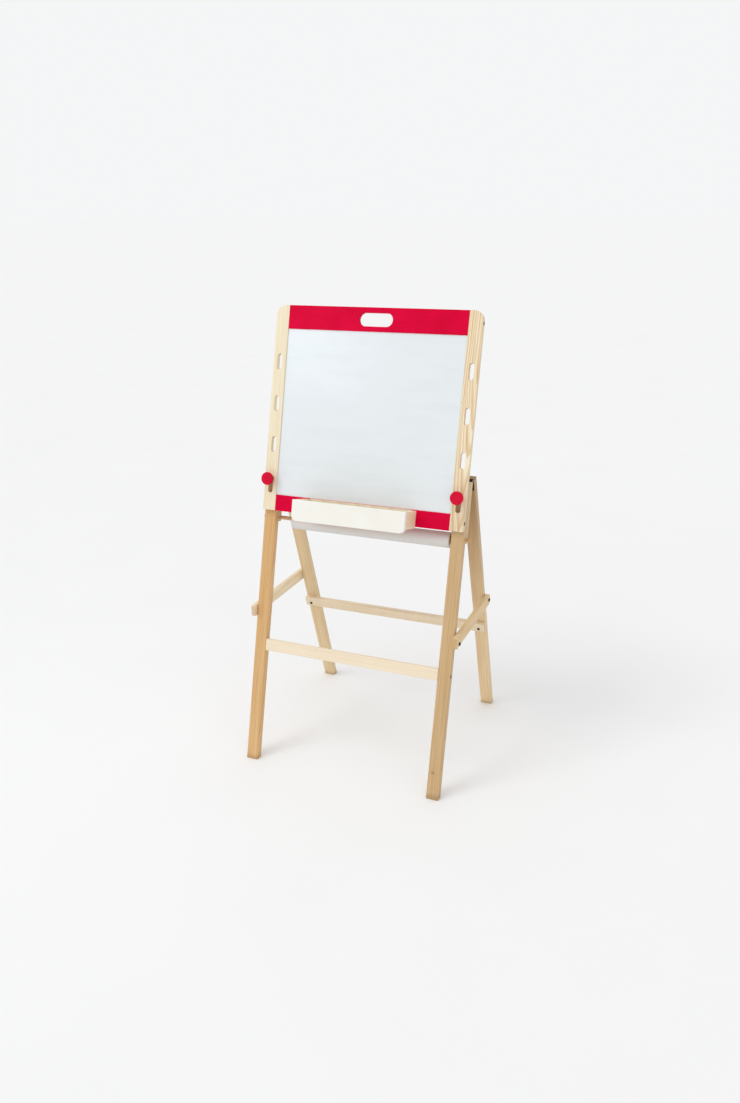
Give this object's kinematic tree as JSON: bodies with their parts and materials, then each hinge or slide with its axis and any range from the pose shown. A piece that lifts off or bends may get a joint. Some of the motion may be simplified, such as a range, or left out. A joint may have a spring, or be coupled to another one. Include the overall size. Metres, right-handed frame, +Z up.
{
  "type": "folding children's easel",
  "caption": "Folding wooden easel with a slotted whiteboard frame, hinged rear legs, hook-on braces, tray, clamping knobs and a paper roll on a dowel.",
  "frame": {"origin": "on the floor, at the middle of the footprint of the four feet", "axes": "+Z up, +X to the right as seen from the board's front, +Y towards the rear legs"},
  "size_m": [0.5174, 0.475, 1.0451],
  "materials": {
    "pine": "sanded pine under a thin satin lacquer",
    "plywood": "sanded birch plywood",
    "fibreboard": "raw fibreboard core",
    "beech": "turned beech, unfinished",
    "red_lacquer": "sprayed satin red lacquer on wood",
    "cream_lacquer": "sprayed satin cream lacquer on wood",
    "red_plastic": "moulded semi-gloss plastic",
    "black_steel": "black powder coat on steel",
    "zinc_steel": "bright zinc plating",
    "white_enamel": "gloss white enamel on thin steel sheet",
    "black_enamel": "matt chalkboard paint on thin steel sheet",
    "paper": "uncoated drawing paper wound on itself",
    "cardboard": "spiral wound brown board"
  },
  "bodies": {
    "front_frame": {"front_leg_left": "pine", "front_leg_right": "pine", "spacer_block_left": "pine", "spacer_block_right": "pine", "tee_nut_left": "zinc_steel", "tee_nut_right": "zinc_steel", "brace_peg_left": "black_steel", "brace_peg_right": "black_steel", "hinge_front_leaf_left": "black_steel", "hinge_front_leaf_right": "black_steel", "hinge_pin_left": "zinc_steel", "hinge_pin_right": "zinc_steel", "front_stretcher": "pine", "stretcher_bolts": "zinc_steel", "stretcher_barrel_nuts": "zinc_steel", "block_screws": "zinc_steel", "hinge_front_screws": "zinc_steel"},
    "rear_frame": {"rear_leg_left": "pine", "rear_leg_right": "pine", "hinge_rear_leaf_left": "black_steel", "hinge_rear_leaf_right": "black_steel", "rear_stretcher": "pine", "rear_stretcher_bolts": "black_steel", "rear_stretcher_nuts": "zinc_steel", "rear_top_rail": "pine", "rear_rail_screws": "zinc_steel", "hinge_rear_screws": "zinc_steel", "brace_washers": "zinc_steel", "brace_pivot_bolts": "black_steel", "brace_pivot_nuts": "zinc_steel"},
    "board": {"stile_left": "pine", "stile_right": "pine", "tray_end_left": "pine", "tray_end_right": "pine", "top_rail": "red_lacquer", "bottom_rail": "red_lacquer", "whiteboard_sheet": "white_enamel", "panel_core": "fibreboard", "chalkboard_sheet": "black_enamel", "frame_screws": "zinc_steel", "tray_front": "cream_lacquer", "tray_floor": "plywood", "tray_back": "plywood", "tray_screws": "zinc_steel"},
    "knob_left": {"knob_left": "red_plastic", "knob_stud_left": "zinc_steel", "knob_washer_left": "zinc_steel"},
    "knob_right": {"knob_right": "red_plastic", "knob_stud_right": "zinc_steel", "knob_washer_right": "zinc_steel"},
    "brace_left": {"brace_left": "pine"},
    "brace_right": {"brace_right": "pine"},
    "paper_dowel": {"paper_dowel": "beech"},
    "paper_roll": {"paper_roll": "paper", "roll_tube": "cardboard"}
  },
  "joints": [
    {"name": "rear_frame_fold", "type": "hinge", "parent": "front_frame", "child": "rear_frame", "pos_m": [0, -0.00856, 0.686], "axis": [-1, 0, 0], "range_deg": [0, 33]},
    {"name": "brace_left_lift", "type": "hinge", "parent": "rear_frame", "child": "brace_left", "pos_m": [-0.251, 0.11428, 0.35], "axis": [-1, 0, 0], "range_deg": [0, 57]},
    {"name": "brace_right_lift", "type": "hinge", "parent": "rear_frame", "child": "brace_right", "pos_m": [0.251, 0.11428, 0.35], "axis": [-1, 0, 0], "range_deg": [0, 57]},
    {"name": "board_height", "type": "slide", "parent": "front_frame", "child": "board", "axis": [0, 0.2689, 0.9632], "range_m": [0, 0.029]},
    {"name": "knob_left_turn", "type": "hinge", "parent": "front_frame", "child": "knob_left", "pos_m": [-0.229, -0.05366, 0.65832], "axis": [0, -0.9632, 0.2689], "continuous": true},
    {"name": "knob_right_turn", "type": "hinge", "parent": "front_frame", "child": "knob_right", "pos_m": [0.229, -0.05366, 0.65832], "axis": [0, -0.9632, 0.2689], "continuous": true},
    {"name": "paper_dowel_slide", "type": "slide", "parent": "front_frame", "child": "paper_dowel", "axis": [1, 0, 0], "range_m": [0, 0.2]},
    {"name": "paper_roll_spin", "type": "hinge", "parent": "front_frame", "child": "paper_roll", "pos_m": [0.015, -0.05419, 0.55827], "axis": [1, 0, 0], "continuous": true}
  ],
  "couplings": [
    {"joint": "brace_left_lift", "follows": "rear_frame_fold", "ratio": 1.7},
    {"joint": "brace_right_lift", "follows": "rear_frame_fold", "ratio": 1.7}
  ]
}
